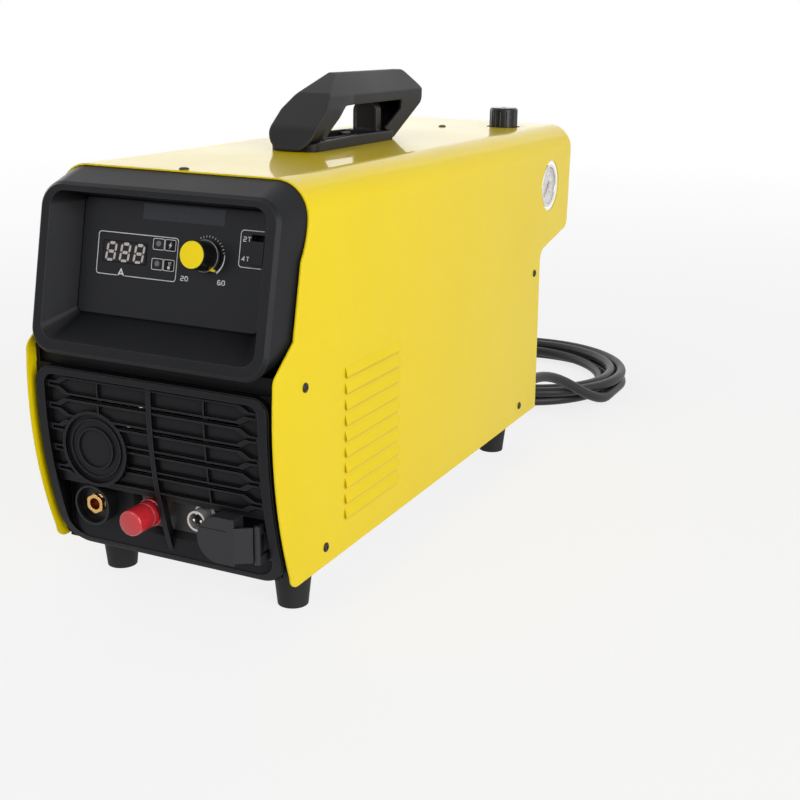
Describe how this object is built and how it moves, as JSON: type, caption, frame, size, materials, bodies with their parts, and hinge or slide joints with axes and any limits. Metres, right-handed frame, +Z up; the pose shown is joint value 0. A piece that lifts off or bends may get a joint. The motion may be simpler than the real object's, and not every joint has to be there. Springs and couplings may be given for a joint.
{
  "type": "plasma cutter unit",
  "caption": "Inverter plasma cutter: yellow sheet cover, black moulded front with leaning controls and louvred grille, carrying handle, air regulator and gauge at the rear, mains lead.",
  "frame": {"origin": "middle of the machine's bounding box, on the floor under the feet", "axes": "+Z up, -Y toward the operator's front panel, +X to the operator's right; the cover runs along Y"},
  "size_m": [0.2621, 0.856, 0.3725],
  "materials": {
    "yellow_paint": "semi-gloss powder coat",
    "panel_plastic": "fine-grained moulding",
    "zinc_sheet": "galvanised sheet",
    "black_sheet": "black powder coat",
    "rubber_black": "matt",
    "screw_steel": "bright zinc",
    "plate_film": "printed film on sheet",
    "display_red": "smoked window",
    "lamp": "clear lamps",
    "board_green": "circuit board",
    "grey_plastic": "moulded",
    "dark_plastic": "moulded",
    "yellow_plastic": "moulded",
    "brass": "turned",
    "aluminium": "extruded",
    "red_plastic": "soft cap",
    "chrome_ring": "plated",
    "grey_plate": "plain",
    "clear_bowl": "translucent polycarbonate",
    "gauge_face": "printed dial",
    "gauge_glass": "clear",
    "ferrite": "ferrite",
    "winding": "taped winding",
    "can": "sleeved can",
    "hose_blue": "air hose"
  },
  "bodies": {
    "chassis": {"cover": "yellow_paint", "base_tray": "zinc_sheet", "rear_panel": "black_sheet", "front_panel": "panel_plastic", "feet": "rubber_black", "machine_screws": "screw_steel", "control_plate": "plate_film", "current_display": "display_red", "indicator_lamps": "lamp", "control_board": "board_green", "potentiometer": "grey_plastic", "mode_switch": "dark_plastic", "output_socket": "dark_plastic", "output_socket_contact": "brass", "output_socket_nut": "brass", "connector_plate": "grey_plate", "torch_gas_fitting": "brass", "signal_socket_shell": "chrome_ring", "signal_socket_insert": "dark_plastic", "signal_socket_pins": "brass", "pilot_terminal": "brass", "terminal_cover_bracket": "grey_plastic", "terminal_cover_pin": "chrome_ring", "handle_base": "dark_plastic", "handle_grip": "dark_plastic", "handle_screws": "screw_steel", "regulator_body": "aluminium", "regulator_bracket": "zinc_sheet", "regulator_bonnet": "dark_plastic", "filter_bowl": "clear_bowl", "gauge_case": "chrome_ring", "gauge_dial": "gauge_face", "gauge_lens": "gauge_glass", "air_inlet_nipple": "brass", "solenoid_valve": "brass", "gas_hose": "hose_blue", "fan_frame": "dark_plastic", "fan_guard": "dark_plastic", "mains_breaker": "dark_plastic", "cable_gland": "rubber_black", "mains_cable": "rubber_black", "mains_cable_coil": "rubber_black", "mains_plug": "rubber_black", "mains_plug_pins": "brass", "main_board": "board_green", "heatsinks": "aluminium", "capacitors": "can", "transformer_core": "ferrite", "transformer_winding": "winding"},
    "current_knob_body": {"current_knob": "dark_plastic", "current_knob_cap": "yellow_plastic", "potentiometer_shaft": "grey_plastic"},
    "mode_slider": {"mode_switch_slider": "grey_plastic"},
    "torch_cap": {"torch_fitting_cap": "red_plastic"},
    "terminal_lid": {"terminal_cover": "grey_plastic"},
    "regulator_nut": {"regulator_adjusting_nut": "brass"},
    "regulator_grip": {"regulator_knob": "grey_plastic"},
    "gauge_pointer": {"gauge_needle": "dark_plastic"},
    "fan": {"fan_rotor": "dark_plastic"},
    "breaker_lever": {"mains_breaker_lever": "grey_plastic"}
  },
  "joints": [
    {"name": "current_knob_turn", "type": "hinge", "parent": "chassis", "child": "current_knob_body", "pos_m": [0.0302, -0.25742, 0.25894], "axis": [0, -0.9781, 0.2079], "range_deg": [0, 270]},
    {"name": "mode_slide", "type": "slide", "parent": "chassis", "child": "mode_slider", "axis": [0, 0.2079, 0.9781], "range_m": [0, 0.0042]},
    {"name": "torch_cap_pull", "type": "slide", "parent": "chassis", "child": "torch_cap", "axis": [0, -1, 0], "range_m": [0, 0.03]},
    {"name": "terminal_lid_hinge", "type": "hinge", "parent": "chassis", "child": "terminal_lid", "pos_m": [0.082, -0.284, 0.067], "axis": [0, 0, 1], "range_deg": [0, 100]},
    {"name": "regulator_turn", "type": "hinge", "parent": "chassis", "child": "regulator_nut", "pos_m": [0.05, 0.2415, 0.298], "axis": [0, 0, 1], "range_deg": [-360, 1080]},
    {"name": "regulator_knob_lift", "type": "slide", "parent": "regulator_nut", "child": "regulator_grip", "axis": [0, 0, 1], "range_m": [0, 0.003]},
    {"name": "gauge_pointer_turn", "type": "hinge", "parent": "chassis", "child": "gauge_pointer", "pos_m": [0.098, 0.2415, 0.2587], "axis": [-1, 0, 0], "range_deg": [0, 270]},
    {"name": "fan_spin", "type": "hinge", "parent": "chassis", "child": "fan", "pos_m": [-0.03, 0.1995, 0.104], "axis": [0, 1, 0], "continuous": true},
    {"name": "breaker_throw", "type": "hinge", "parent": "chassis", "child": "breaker_lever", "pos_m": [0.06, 0.2195, 0.126], "axis": [1, 0, 0], "range_deg": [-50, 0]}
  ]
}
